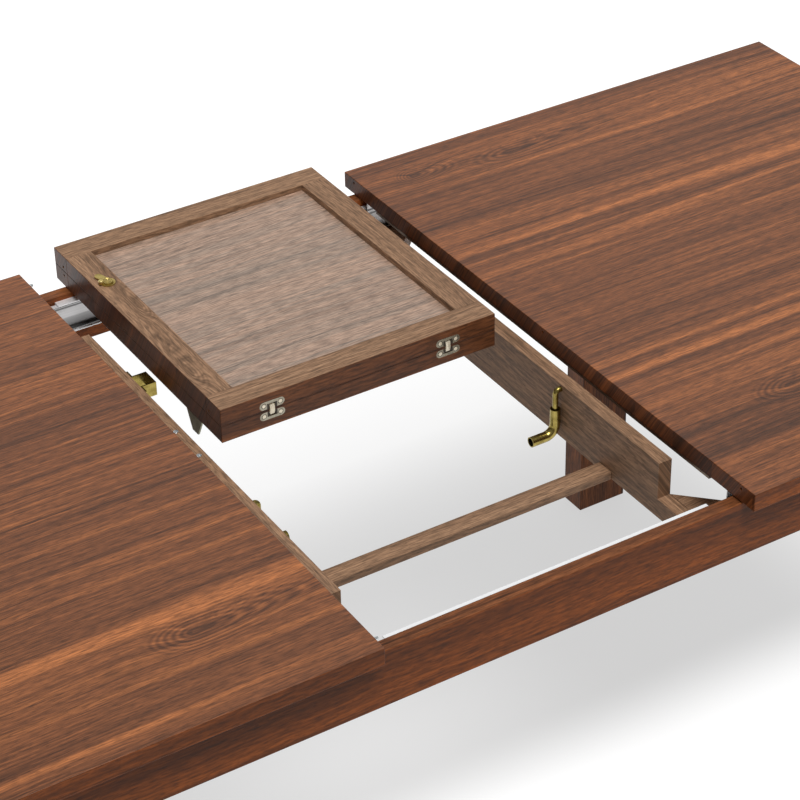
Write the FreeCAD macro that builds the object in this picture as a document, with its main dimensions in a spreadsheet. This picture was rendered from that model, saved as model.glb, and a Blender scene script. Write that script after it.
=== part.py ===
"""Extendable dining table with two sliding tops and a folding leaf, opened to take the leaf.

Frame: +X along the table's length, +Y across it, +Z up. The origin is on the floor under the
middle of the table. Lengths are in millimetres. The table stands with both tops drawn apart and
the folded leaf lying over the far half of the gap.
"""
import FreeCAD, Part
import math
import os
import Sketcher
from FreeCAD import Placement, Rotation, Vector

DOC = FreeCAD.newDocument("extending_table")

DRIVING_SIZES = {
    "table_width": 1000, "table_height": 750,
    "top_length": 805, "top_thick": 26, "top_gap": 544, "top_ease": 1.2,
    "overhang": 25, "apron_thick": 20, "apron_tall": 85, "apron_drop": 2,
    "leg_wide": 92, "leg_deep": 48, "glide_tall": 2, "glide_radius": 14,
    "wood_ease": 0.8,
    "beam_gap": 480, "beam_thick": 21, "beam_tall": 86, "beam_drop": 5, "beam_shoulder": 345,
    "notch_deep": 57, "stretcher_wide": 28, "stretcher_thick": 12, "stretcher_mid": 230,
    "block_leg": 110, "block_thick": 24, "leg_block_reach": 144, "leg_block_wide": 24,
    "block_lift": 1, "bolt_radius": 4, "bolt_long": 50, "bolt_bite": 12, "nut_radius": 7.5,
    "nut_thick": 6.5,
    "rail_half": 241, "rail_tall": 50, "rail_deep": 12.7, "rail_mid": 689.5, "steel_gauge": 1.6,
    "middle_long": 400, "middle_inset": 136, "middle_tall": 43.8, "middle_deep": 8, "middle_back": 2.4,
    "inner_long": 360, "inner_set_back": 4, "inner_tall": 37.8, "inner_back": 5.2,
    "bracket_back": 13.4, "bracket_flange": 20,
    "bar_thick": 4, "bar_wide": 30, "bar_long": 816,
    "screw_radius": 3.5, "screw_head": 0.8, "screw_shank": 1.8, "screw_long": 12, "screw_play": 0.3,
    "rail_screw_pitch": 90, "top_screw_pitch": 150, "beam_screw_mid": 31.5, "beam_screw_pitch": 65,
    "keeper_mid": 200.5, "keeper_wide": 31, "keeper_deep": 23, "keeper_tall": 21,
    "keeper_gauge": 2, "keeper_tab": 14,
    "hook_at": 123, "hook_radius": 7.4, "hook_bore": 6, "hook_bend": 17, "hook_off": 8.2,
    "hook_arm": 23, "hook_mouth": 682, "hook_elbow": 658, "pin_radius": 4.1, "pin_bend": 5.5,
    "pin_high": 711.5, "pin_grip": 10, "pin_hole_deep": 12, "pin_play": 0.05, "pin_foot": 661,
    "mouth_deep": 10,
    "leaf_wide": 430, "leaf_thick": 26, "face_gap": 0.3, "edge_gap": 0.3,
    "rail_wide": 40, "panel_recess": 9.5, "leaf_half": 500,
    "hinge_at": 138, "plate_long": 38, "plate_wide": 12, "plate_thick": 2.2, "plate_rise": 2.3,
    "slot_wide": 9.6, "slot_deep": 11.5, "slot_tall": 12.5, "notch_tall": 10.2, "link_wide": 8.6,
    "link_pivot": 6.5, "link_round": 3.2, "link_pin": 1.5, "link_pin_long": 20,
    "hinge_screw_radius": 2.6, "hinge_screw_at": 12.5, "hinge_screw_shank": 1.3,
    "catch_x": 194, "catch_y": 368, "catch_radius": 11, "catch_thick": 1.6, "lever_thick": 1.8,
    "lever_wide": 11, "lever_long": 31, "lever_lean": 105, "lever_hub": 8,
    "knob_at": 10.5, "knob_radius": 3.4, "knob_tall": 3.2,
    "hole_radius": 2.25, "hole_deep": 13, "hole_drop": 7, "dowel_radius": 2.2, "dowel_out": 7,
    "dowel_in": 12, "hole_edge": 472, "hole_mid": 33,
    "tongue_thick": 2.5, "tongue_at": 78.25, "tongue_root": 42.5, "tongue_tip": 15.6,
    "tongue_tall": 27, "tongue_flange": 22, "tongue_gauge": 1.5,
}


class Size:
    """A number together with the sheet expression that gives it."""

    def __init__(self, number, text=None):
        self.number = float(number)
        self.text = text or repr(self.number)

    def join(self, other, sign, number):
        return Size(number, "(%s %s %s)" % (self.text, sign, as_size(other).text))

    def __add__(self, other):
        return self.join(other, "+", self.number + value(other))

    def __sub__(self, other):
        return self.join(other, "-", self.number - value(other))

    def __mul__(self, other):
        return self.join(other, "*", self.number * value(other))

    def __truediv__(self, other):
        return self.join(other, "/", self.number / value(other))

    def __neg__(self):
        return Size(-self.number, "(0 - %s)" % self.text)


def as_size(size):
    return size if isinstance(size, Size) else Size(size)


def value(size):
    return as_size(size).number


class Sheet:
    """The driving sizes, each an aliased cell of the spreadsheet."""

    def __init__(self, sizes):
        cells = DOC.addObject("Spreadsheet::Sheet", "Sizes")
        for row, (alias, number) in enumerate(sizes.items(), start=1):
            cells.set("A%d" % row, alias)
            cells.set("B%d" % row, str(number))
            cells.setAlias("B%d" % row, alias)
            setattr(self, alias, Size(number, "Sizes." + alias))


S = Sheet(DRIVING_SIZES)
DOC.recompute()

NODES = []
SIDES = {"left": -1, "right": 1}
ENDS = {"near": -1, "far": 1}
LAYERS = {"lower": -1, "upper": 1}
CORNERS = [(x_sign, y_sign) for x_sign in SIDES.values() for y_sign in ENDS.values()]

# Heights and places that several pieces share.
TOP_UNDER = S.table_height - S.top_thick
APRON_TOP = TOP_UNDER - S.apron_drop
APRON_UNDER = APRON_TOP - S.apron_tall
APRON_OUT = S.table_width / 2 - S.overhang
APRON_IN = APRON_OUT - S.apron_thick
END_OUT = S.top_length - S.overhang
END_IN = END_OUT - S.apron_thick
TOP_EDGE = S.top_gap / 2
BEAM_IN = S.beam_gap / 2
BEAM_OUT = BEAM_IN + S.beam_thick
BEAM_TOP = TOP_UNDER - S.beam_drop
BEAM_UNDER = BEAM_TOP - S.beam_tall
TENON_TALL = S.beam_tall - S.notch_deep
HOOK_X = BEAM_IN - S.hook_off
LEAF_END = S.leaf_wide / 2
LEAF_SPAN = {"lower": (TOP_UNDER, S.table_height - S.face_gap / 2),
             "upper": (S.table_height + S.face_gap / 2, S.table_height + S.leaf_thick)}
PLATE_MID = S.plate_rise + S.plate_wide / 2


# ---------------------------------------------------------------- drawing helpers


def signed(size, sign):
    """The size on the positive or the negative side of the middle."""
    return as_size(size) if sign > 0 else -as_size(size)


def low_end(near, far, sign):
    """The smaller coordinate of a span that reaches from near to far on one side of the middle."""
    return as_size(near) if sign > 0 else -as_size(far)


def bind(thing, prop, size):
    """Set a property and tie it to the sheet."""
    setattr(thing, prop, value(size))
    thing.setExpression(prop, as_size(size).text)


def place(thing, spot, turn=Rotation()):
    """Put a piece at a point whose coordinates are tied to the sheet."""
    thing.Placement = Placement(Vector(*[value(part) for part in spot]), turn)
    for letter, size in zip("xyz", spot):
        thing.setExpression("Placement.Base." + letter, as_size(size).text)


def keep(thing, label):
    """Name a finished sub-part and list it among those that are written."""
    thing.Label = label
    NODES.append(thing)
    return thing


def hold(sketch, kind, *where):
    """Add a dimension whose last argument is a size tied to the sheet."""
    size = as_size(where[-1])
    number = sketch.addConstraint(Sketcher.Constraint(kind, *where[:-1], size.number))
    sketch.setExpression("Constraints[%d]" % number, size.text)


def draw_outline(sketch, points):
    """Close a polygon and hold each corner by its two coordinates."""
    numbers = [Vector(value(x), value(y), 0) for x, y in points]
    for start, end in zip(numbers, numbers[1:] + numbers[:1]):
        sketch.addGeometry(Part.LineSegment(start, end), False)
    for index in range(len(points)):
        after = (index + 1) % len(points)
        sketch.addConstraint(Sketcher.Constraint("Coincident", index, 2, after, 1))
    for index, (x, y) in enumerate(points):
        hold(sketch, "DistanceX", index, 1, x)
        hold(sketch, "DistanceY", index, 1, y)


def draw_circles(sketch, centres, radius):
    for x, y in centres:
        middle = Vector(value(x), value(y), 0)
        shape = Part.Circle(middle, Vector(0, 0, 1), value(radius))
        circle = sketch.addGeometry(shape, False)
        hold(sketch, "DistanceX", circle, 3, x)
        hold(sketch, "DistanceY", circle, 3, y)
        hold(sketch, "Radius", circle, radius)


def add_sketch(body, role, along=0):
    """A sketch on one of the body's own planes, moved along that plane's normal."""
    sketch = body.newObject("Sketcher::SketchObject", body.Name + "_sketch")
    plane = next(item for item in body.Origin.OriginFeatures if item.Role == role)
    sketch.AttachmentSupport = (plane, [""])
    sketch.MapMode = "FlatFace"
    sketch.AttachmentOffset = Placement(Vector(0, 0, value(along)), Rotation())
    sketch.setExpression("AttachmentOffset.Base.z", as_size(along).text)
    return sketch


def prism(label, outline, depth, role="XY_Plane", spot=(0, 0, 0)):
    """A solid pushed out of an outline along the normal of one of its body's planes."""
    body = DOC.addObject("PartDesign::Body", label)
    sketch = add_sketch(body, role)
    draw_outline(sketch, outline)
    pad = body.newObject("PartDesign::Pad", label + "_pad")
    pad.Profile = sketch
    bind(pad, "Length", depth)
    place(body, spot)
    DOC.recompute()
    return body


def ease_edges(body, radius):
    """Round every edge of a wooden piece."""
    solid = body.Tip
    names = ["Edge%d" % number for number in range(1, len(solid.Shape.Edges) + 1)]
    fillet = body.newObject("PartDesign::Fillet", body.Name + "_ease")
    fillet.Base = (solid, names)
    bind(fillet, "Radius", radius)
    DOC.recompute()
    return body


def bore(body, along, centres, radius, depth, towards):
    """Drill round holes along X from the plane at x = along, and make sure that they cut."""
    before = body.Shape.Volume
    sketch = add_sketch(body, "YZ_Plane", along)
    draw_circles(sketch, centres, radius)
    pocket = body.newObject("PartDesign::Pocket", body.Name + "_bore")
    pocket.Profile = sketch
    bind(pocket, "Length", depth)
    pocket.Reversed = towards > 0
    DOC.recompute()
    if body.Shape.Volume > before - 1:
        raise RuntimeError("the holes in %s cut nothing" % body.Label)


def rectangle(low, high):
    return [(low[0], low[1]), (high[0], low[1]), (high[0], high[1]), (low[0], high[1])]


def board(label, corner, size, ease=None):
    """A squared board: its lowest corner, its three lengths and the radius of its edges."""
    body = prism(label, rectangle((0, 0), size[:2]), size[2], spot=corner)
    return body if ease is None else ease_edges(body, ease)


def box(label, corner, size):
    item = DOC.addObject("Part::Box", label)
    for prop, length in zip(("Length", "Width", "Height"), size):
        bind(item, prop, length)
    place(item, corner)
    return item


def cylinder(label, radius, tall, spot, axis=Vector(0, 0, 1)):
    item = DOC.addObject("Part::Cylinder", label)
    bind(item, "Radius", radius)
    bind(item, "Height", tall)
    place(item, spot, Rotation(Vector(0, 0, 1), axis))
    return item


def quarter_ring(label, bend, radius, spot, turn):
    item = DOC.addObject("Part::Torus", label)
    bind(item, "Radius1", bend)
    bind(item, "Radius2", radius)
    item.Angle3 = 90
    place(item, spot, turn)
    return item


def stadium(label, long, wide, thick, spot, turn=Rotation()):
    """A plate with round ends, lying in its own XY plane with its middle at the spot."""
    half = (long - wide) / 2
    middle = box(label + "_middle", (-half, -wide / 2, 0), (half * 2, wide, thick))
    ends = [cylinder(label + "_end", wide / 2, thick, (signed(half, sign), 0, 0)) for sign in (-1, 1)]
    item = fuse(label, [middle] + ends)
    place(item, spot, turn)
    return item


def fuse(label, pieces):
    item = DOC.addObject("Part::MultiFuse", label)
    item.Shapes = pieces
    DOC.recompute()
    return item


def cut(label, base, tools):
    item = DOC.addObject("Part::Cut", label)
    item.Base = base
    item.Tool = tools[0] if len(tools) == 1 else fuse(label + "_tools", tools)
    DOC.recompute()
    return item


def group(label, pieces):
    """Several separate solids that share one node."""
    item = DOC.addObject("Part::Compound", label)
    item.Links = pieces
    DOC.recompute()
    return keep(item, label)


def screw(spot, outward):
    """A wood screw: a low head on the surface and a shank that goes in behind it."""
    head = cylinder("screw_head", S.screw_radius, S.screw_head, spot, outward)
    shank = cylinder("screw_shank", S.screw_shank, S.screw_long, spot, outward * -1)
    return fuse("screw", [head, shank])


def screw_hole(spot, outward, deep):
    """A clearance hole for a screw, through a sheet that ends at the spot."""
    radius = S.screw_shank + S.screw_play
    return cylinder("screw_hole", radius, deep, spot, outward * -1)


# ---------------------------------------------------------------- frame


def aprons():
    for name, sign in ENDS.items():
        corner = (-END_OUT, low_end(APRON_IN, APRON_OUT, sign), APRON_UNDER)
        size = (END_OUT * 2, S.apron_thick, S.apron_tall)
        keep(board(name + "_long", corner, size, S.wood_ease), name + "_apron")
    for name, sign in SIDES.items():
        corner = (low_end(END_IN, END_OUT, sign), -APRON_IN, APRON_UNDER)
        size = (S.apron_thick, APRON_IN * 2, S.apron_tall)
        keep(board(name + "_short", corner, size, S.wood_ease), name + "_end_apron")


def legs():
    size = (S.leg_wide, S.leg_deep, APRON_TOP - S.glide_tall)
    for end, y_sign in ENDS.items():
        for side, x_sign in SIDES.items():
            corner = (low_end(END_IN - S.leg_wide, END_IN, x_sign),
                      low_end(APRON_IN - S.leg_deep, APRON_IN, y_sign), S.glide_tall)
            keep(board("leg_blank", corner, size, S.top_ease), "%s_%s_leg" % (end, side))


def floor_glides():
    x = END_IN - S.leg_wide / 2
    y = APRON_IN - S.leg_deep / 2
    group("floor_glides", [cylinder("glide", S.glide_radius, S.glide_tall,
                                    (signed(x, x_sign), signed(y, y_sign), 0))
                           for x_sign, y_sign in CORNERS])


def leg_corner_blocks():
    """Blocks across the corners of the aprons, each held to its leg by a hanger bolt and a nut."""
    outer = S.leg_block_reach
    inner = S.leg_block_reach + S.leg_block_wide
    base = APRON_UNDER + S.block_lift
    middle = base + S.block_thick / 2
    seat = (inner - S.leg_wide - S.leg_deep + S.bolt_bite * 2) / math.sqrt(2)
    blocks = []
    bolts = []
    for x_sign, y_sign in CORNERS:
        corners = [(END_IN - outer, APRON_IN), (END_IN, APRON_IN - outer),
                   (END_IN, APRON_IN - inner), (END_IN - inner, APRON_IN)]
        outline = [(signed(x, x_sign), signed(y, y_sign)) for x, y in corners]
        solid = prism("block_solid", outline, S.block_thick, spot=(0, 0, base))
        start = (signed(END_IN - S.leg_wide + S.bolt_bite, x_sign),
                 signed(APRON_IN - S.leg_deep + S.bolt_bite, y_sign), middle)
        inward = Vector(-x_sign, -y_sign, 0)
        hole = cylinder("bolt_hole", S.bolt_radius + S.screw_play, S.bolt_long, start, inward)
        blocks.append(cut("corner_block", solid, [hole]))
        shank = cylinder("bolt_shank", S.bolt_radius, S.bolt_long, start, inward)
        step = seat / math.sqrt(2)
        nut_spot = (start[0] - signed(step, x_sign), start[1] - signed(step, y_sign), middle)
        bolts.append(fuse("bolt", [shank, nut(nut_spot, inward)]))
    group("leg_corner_blocks", blocks)
    group("leg_bolts", bolts)


def nut(spot, axis):
    item = DOC.addObject("Part::Prism", "hex_nut")
    item.Polygon = 6
    bind(item, "Circumradius", S.nut_radius)
    bind(item, "Height", S.nut_thick)
    place(item, spot, Rotation(Vector(0, 0, 1), axis))
    return item


def beams():
    """Two boards across the frame, notched at both ends so that the slides pass over them."""
    half = APRON_IN
    shoulder = S.beam_shoulder
    outline = [(-half, 0), (half, 0), (half, TENON_TALL), (shoulder, TENON_TALL),
               (shoulder, S.beam_tall), (-shoulder, S.beam_tall), (-shoulder, TENON_TALL),
               (-half, TENON_TALL)]
    pin_hole = [(-S.hook_at, S.pin_high - BEAM_UNDER)]
    for name, sign in SIDES.items():
        body = prism(name + "_cross_board", outline, S.beam_thick, "YZ_Plane",
                     (low_end(BEAM_IN, BEAM_OUT, sign), 0, BEAM_UNDER))
        ease_edges(body, S.wood_ease)
        inner_face = 0 if sign > 0 else S.beam_thick
        bore(body, inner_face, pin_hole, S.pin_radius + S.pin_play, S.pin_hole_deep, sign)
        keep(body, name + "_beam")


def stretcher():
    """A rung between the beams, under the open end of the gap."""
    corner = (-BEAM_IN, -S.stretcher_mid - S.stretcher_wide / 2, BEAM_UNDER)
    size = (S.beam_gap, S.stretcher_wide, S.stretcher_thick)
    keep(board("rung", corner, size, S.wood_ease), "near_stretcher")


def beam_corner_blocks():
    """Triangular blocks between the beams' outer faces and the long aprons."""
    blocks = []
    for x_sign, y_sign in CORNERS:
        corners = [(BEAM_OUT, APRON_IN), (BEAM_OUT + S.block_leg, APRON_IN),
                   (BEAM_OUT, APRON_IN - S.block_leg)]
        outline = [(signed(x, x_sign), signed(y, y_sign)) for x, y in corners]
        blocks.append(prism("beam_block", outline, TENON_TALL, spot=(0, 0, BEAM_UNDER)))
    group("beam_corner_blocks", blocks)


# ---------------------------------------------------------------- slides


def steel_length(label, section, sign, start, long):
    """A length of folded steel whose section is (depth from the apron, height about its middle)."""
    outline = [(signed(APRON_IN - depth, sign), S.rail_mid + high) for depth, high in section]
    return prism(label, outline, long, "YZ_Plane", (start, 0, 0))


def channel(back, deep, tall):
    """The section of a channel that opens away from the apron."""
    half = tall / 2
    front = as_size(back) + deep
    web = as_size(back) + S.steel_gauge
    inner = half - S.steel_gauge
    return [(back, -half), (front, -half), (front, -inner), (web, -inner), (web, inner),
            (front, inner), (front, half), (back, half)]


def rail_screw_spots(sign):
    y = signed(APRON_IN - S.steel_gauge, sign)
    return [(S.rail_screw_pitch * step, y, S.rail_mid) for step in (-1, 0, 1)]


def slide_rails():
    section = channel(0, S.rail_deep, S.rail_tall)
    for end, sign in ENDS.items():
        blank = steel_length(end + "_rail_blank", section, sign, -S.rail_half, S.rail_half * 2)
        holes = [screw_hole(spot, Vector(0, -sign, 0), S.steel_gauge) for spot in rail_screw_spots(sign)]
        keep(cut(end + "_rail", blank, holes), end + "_slide_rail")


def slide_middles():
    section = channel(S.middle_back, S.middle_deep, S.middle_tall)
    far = S.middle_inset + S.middle_long
    for end, y_sign in ENDS.items():
        for side, x_sign in SIDES.items():
            start = low_end(S.middle_inset, far, x_sign)
            label = "%s_%s_slide_middle" % (end, side)
            keep(steel_length(label + "_steel", section, y_sign, start, S.middle_long), label)


def top_screw_spots(x_sign, y_sign):
    y = APRON_IN - S.bracket_back - S.bracket_flange / 2
    middle = TOP_EDGE + S.inner_set_back + S.inner_long / 2
    return [(signed(middle + S.top_screw_pitch * step, x_sign), signed(y, y_sign),
             TOP_UNDER - S.steel_gauge) for step in (-1, 0, 1)]


def slide_inners():
    """Inner members: a web that runs in the middle member and an angle that carries the top."""
    gauge = S.steel_gauge
    half = S.inner_tall / 2
    neck = S.inner_tall / 8
    back = S.inner_back
    plate = S.bracket_back
    tip = plate + S.bracket_flange
    flange = TOP_UNDER - S.rail_mid
    section = [(back, -half), (back + gauge, -half), (back + gauge, -neck), (plate, -neck),
               (plate, -neck * 2), (plate + gauge, -neck * 2), (plate + gauge, flange - gauge),
               (tip, flange - gauge), (tip, flange), (plate, flange), (plate, neck),
               (back + gauge, neck), (back + gauge, half), (back, half)]
    near = TOP_EDGE + S.inner_set_back
    for end, y_sign in ENDS.items():
        for side, x_sign in SIDES.items():
            label = "%s_%s_slide_inner" % (end, side)
            start = low_end(near, near + S.inner_long, x_sign)
            blank = steel_length(label + "_steel", section, y_sign, start, S.inner_long)
            holes = [screw_hole(spot, Vector(0, 0, -1), gauge)
                     for spot in top_screw_spots(x_sign, y_sign)]
            keep(cut(label + "_drilled", blank, holes), label)


# ---------------------------------------------------------------- tops


def tops():
    """Two boards whose inner ends are bored for the alignment dowels."""
    half = S.table_width / 2
    rows = [(y, S.top_thick - S.hole_drop) for y in (S.hole_edge, -S.hole_mid, -S.hole_edge)]
    for side, sign in SIDES.items():
        low = 0 if sign > 0 else -S.top_length
        high = S.top_length if sign > 0 else 0
        outline = rectangle((low, -half), (high, half))
        body = prism(side + "_board", outline, S.top_thick, spot=(signed(TOP_EDGE, sign), 0, TOP_UNDER))
        ease_edges(body, S.top_ease)
        bore(body, 0, rows, S.hole_radius, S.hole_deep, sign)
        keep(body, side + "_top")


def top_bars():
    """Flat steel bars under the tops' inner ends, which keep the boards from cupping."""
    for side, sign in SIDES.items():
        corner = (low_end(TOP_EDGE, TOP_EDGE + S.bar_wide, sign), -S.bar_long / 2,
                  TOP_UNDER - S.bar_thick)
        size = (S.bar_wide, S.bar_long, S.bar_thick)
        keep(board(side + "_flat", corner, size), side + "_top_bar")


def top_screws():
    """Screws up through the slide angles into each top."""
    for side, x_sign in SIDES.items():
        spots = [spot for y_sign in ENDS.values() for spot in top_screw_spots(x_sign, y_sign)]
        group(side + "_top_screws", [screw(spot, Vector(0, 0, -1)) for spot in spots])


def dowels(label, x, rows):
    """Steel pins along +X that start inside an end face at x and stand out of it."""
    long = S.dowel_in + S.dowel_out
    group(label, [cylinder("dowel", S.dowel_radius, long, (x - S.dowel_in, y, z), Vector(1, 0, 0))
                  for y, z in rows])


def all_dowels():
    low = S.table_height - S.hole_drop
    high = S.table_height + S.hole_drop
    dowels("left_top_dowels", -TOP_EDGE, [(S.hole_edge, low), (-S.hole_mid, low), (-S.hole_edge, low)])
    dowels("lower_leaf_dowels", LEAF_END, [(S.hole_edge, low)])
    dowels("upper_leaf_dowels", LEAF_END, [(S.hole_edge, high), (S.hole_mid, high)])


# ---------------------------------------------------------------- beam fittings


def keeper_screw_spots(x_sign):
    x = signed(BEAM_IN - S.keeper_gauge, x_sign)
    reach = (S.keeper_wide + S.keeper_tab) / 2
    z = BEAM_TOP - S.keeper_tall / 2
    return [(x, S.keeper_mid + signed(reach, y_sign), z) for y_sign in (-1, 1)]


def keepers():
    """Folded brass straps on the beams, open at the top and the bottom."""
    gauge = S.keeper_gauge
    half = S.keeper_wide / 2
    tab = half + S.keeper_tab
    inner = half - gauge
    deep = S.keeper_deep
    section = [(0, -tab), (gauge, -tab), (gauge, -half), (deep, -half), (deep, half), (gauge, half),
               (gauge, tab), (0, tab), (0, inner), (deep - gauge, inner), (deep - gauge, -inner),
               (0, -inner)]
    for side, sign in SIDES.items():
        outline = [(signed(x, -sign), y) for x, y in section]
        blank = prism(side + "_strap", outline, S.keeper_tall,
                      spot=(signed(BEAM_IN, sign), S.keeper_mid, BEAM_TOP - S.keeper_tall))
        holes = [screw_hole(spot, Vector(-sign, 0, 0), gauge) for spot in keeper_screw_spots(sign)]
        keep(cut(side + "_drilled_strap", blank, holes), side + "_keeper")


def frame_screws():
    """Screws in the slide rails and the keepers' tabs, and two down through the left beam."""
    screws = []
    for sign in ENDS.values():
        screws += [screw(spot, Vector(0, -sign, 0)) for spot in rail_screw_spots(sign)]
    for sign in SIDES.values():
        screws += [screw(spot, Vector(-sign, 0, 0)) for spot in keeper_screw_spots(sign)]
    for step in (-0.5, 0.5):
        y = S.beam_screw_mid + S.beam_screw_pitch * step
        screws.append(screw((-(BEAM_IN + S.beam_thick / 2), y, BEAM_TOP), Vector(0, 0, 1)))
    group("frame_screws", screws)


def upright(sign, quarter):
    """Stand a ring's quarter up in the XZ plane, bending towards the side and up or down."""
    return Rotation(Vector(0, 0, 1), 0 if sign > 0 else 180) * Rotation(Vector(1, 0, 0), quarter)


def hook_pieces(sign, radius, stem_base, stem_top):
    """The stem, bend and arm of a leaf hook as solids of one radius."""
    x = signed(HOOK_X, sign)
    inner = signed(HOOK_X - S.hook_bend, sign)
    elbow = S.hook_elbow
    stem = cylinder("hook_stem", radius, stem_top - stem_base, (x, -S.hook_at, stem_base))
    bend = quarter_ring("hook_bend", S.hook_bend, radius, (inner, -S.hook_at, elbow), upright(sign, -90))
    arm = cylinder("hook_arm", radius, S.hook_arm, (inner, -S.hook_at, elbow - S.hook_bend),
                   Vector(-sign, 0, 0))
    return [stem, bend, arm]


def hooks():
    """Bent brass tubes on which the stowed leaf lies; each swings on a bent pin in its beam."""
    for side, sign in SIDES.items():
        x = signed(HOOK_X, sign)
        solid = fuse(side + "_hook_solid", hook_pieces(sign, S.hook_radius, S.hook_elbow, S.hook_mouth))
        hollow = hook_pieces(sign, S.hook_bore, S.hook_mouth - S.mouth_deep, S.hook_mouth)
        hollow.append(cylinder("pivot_bore", S.pin_radius + S.pin_play, S.hook_mouth - S.hook_elbow,
                               (x, -S.hook_at, S.hook_elbow)))
        keep(cut(side + "_hook_tube", solid, hollow), side + "_leaf_hook")

        bend_x = signed(HOOK_X + S.pin_bend, sign)
        bend_z = S.pin_high - S.pin_bend
        rod = cylinder("pin_rod", S.pin_radius, bend_z - S.pin_foot, (x, -S.hook_at, S.pin_foot))
        bend = quarter_ring("pin_bend", S.pin_bend, S.pin_radius, (bend_x, -S.hook_at, bend_z),
                            upright(-sign, 90))
        grip = cylinder("pin_grip", S.pin_radius, S.hook_off - S.pin_bend + S.pin_grip,
                        (bend_x, -S.hook_at, S.pin_high), Vector(sign, 0, 0))
        keep(fuse(side + "_bent_pin", [rod, bend, grip]), side + "_hook_pin")


# ---------------------------------------------------------------- leaf


def leaf_frames():
    """Each half of the leaf: a rail at either end, two stiles between them and a panel."""
    far_y = S.leaf_half - S.rail_wide
    inner_y = S.edge_gap + S.rail_wide
    for layer, sign in LAYERS.items():
        low, high = LEAF_SPAN[layer]
        tall = high - low
        near_rail(layer, sign, low, tall)
        far = board(layer + "_far_blank", (-LEAF_END, far_y, low), (S.leaf_wide, S.rail_wide, tall),
                    S.wood_ease)
        rows = [(S.hole_edge - far_y, S.table_height + signed(S.hole_drop, sign) - low)]
        bore(far, 0, rows, S.hole_radius, S.hole_deep, 1)
        bore(far, S.leaf_wide, rows, S.hole_radius, S.hole_deep, -1)
        keep(far, layer + "_far_rail")
        for side, x_sign in SIDES.items():
            corner = (low_end(LEAF_END - S.rail_wide, LEAF_END, x_sign), inner_y, low)
            stile = board(layer + "_stile", corner, (S.rail_wide, far_y - inner_y, tall), S.wood_ease)
            keep(stile, "%s_%s_stile" % (layer, side))
        base = low + S.panel_recess if sign < 0 else low
        panel = board(layer + "_field", (S.rail_wide - LEAF_END, inner_y, base),
                      (LEAF_END * 2 - S.rail_wide * 2, far_y - inner_y, tall - S.panel_recess))
        keep(panel, layer + "_panel")


def hinge_mid(sign):
    """The height of the middle of the hinge plates of one half."""
    return S.table_height + signed(PLATE_MID, sign)


def plate_form(label, x_sign, sign):
    """A hinge plate's outline pushed into the edge of the near rail."""
    spot = (signed(S.hinge_at, x_sign), S.edge_gap + S.plate_thick, hinge_mid(sign))
    return stadium(label, S.plate_long, S.plate_wide, S.plate_thick, spot, Rotation(Vector(1, 0, 0), 90))


def seam_slot(label, x_sign, sign, deep, tall):
    """A slot that opens to the seam and to the edge face, in which a link turns."""
    spill = 5
    x = signed(S.hinge_at, x_sign) - S.slot_wide / 2
    z = S.table_height - tall if sign < 0 else S.table_height - spill
    return box(label, (x, -spill, z), (S.slot_wide, as_size(deep) + spill, tall + spill))


def hinge_screw_spots(sign):
    y = S.edge_gap
    return [(signed(S.hinge_at, x_sign) + signed(S.hinge_screw_at, step), y, hinge_mid(sign))
            for x_sign in SIDES.values() for step in (-1, 1)]


def near_rail(layer, sign, low, tall):
    """The hinge rail, with mortises for the plates, slots for the links and bores for their pins."""
    blank = board(layer + "_near_blank", (-LEAF_END, S.edge_gap, low), (S.leaf_wide, S.rail_wide, tall),
                  S.wood_ease)
    if sign > 0:
        row = [(S.hole_mid - S.edge_gap, S.table_height + S.hole_drop - low)]
        bore(blank, 0, row, S.hole_radius, S.hole_deep, 1)
        bore(blank, S.leaf_wide, row, S.hole_radius, S.hole_deep, -1)
    tools = []
    for x_sign in SIDES.values():
        tools.append(plate_form("plate_mortise", x_sign, sign))
        tools.append(seam_slot("link_slot", x_sign, sign, S.slot_deep, S.slot_tall))
        if sign < 0:
            tools.append(link_pin(x_sign, S.link_pin + S.pin_play, S.link_pin_long + 1))
    keep(cut(layer + "_near_cut", blank, tools), layer + "_near_rail")


def hinge_plates():
    """Round-ended plates let into the edge of each half, each slotted for its link."""
    inward = Vector(0, 1, 0)
    for layer, sign in LAYERS.items():
        plates = []
        for x_sign in SIDES.values():
            slot = seam_slot("plate_slot", x_sign, sign, S.slot_deep, S.notch_tall)
            tools = [slot]
            for spot in hinge_screw_spots(sign):
                tools.append(cylinder("head_seat", S.hinge_screw_radius + S.pin_play,
                                      S.screw_head + S.pin_play, spot, inward))
                tools.append(cylinder("shank_hole", S.hinge_screw_shank + S.pin_play, S.plate_thick,
                                      spot, inward))
            plates.append(cut("hinge_plate", plate_form("plate_form", x_sign, sign), tools))
        group(layer + "_hinge_plates", plates)
        screws = []
        for x, y, z in hinge_screw_spots(sign):
            sunk = (x, y + S.pin_play, z)
            head = cylinder("hinge_screw_head", S.hinge_screw_radius, S.screw_head, sunk, inward)
            shank = cylinder("hinge_screw_shank", S.hinge_screw_shank, S.screw_long, sunk, inward)
            screws.append(fuse("hinge_screw", [head, shank]))
        group(layer + "_hinge_screws", screws)


def link_pin(x_sign, radius, long):
    """The pin, or its bore, on which a link turns in the lower half."""
    spot = (signed(S.hinge_at, x_sign) - long / 2, S.link_pivot, S.table_height - S.link_pivot)
    return cylinder("link_pin", radius, long, spot, Vector(1, 0, 0))


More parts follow.
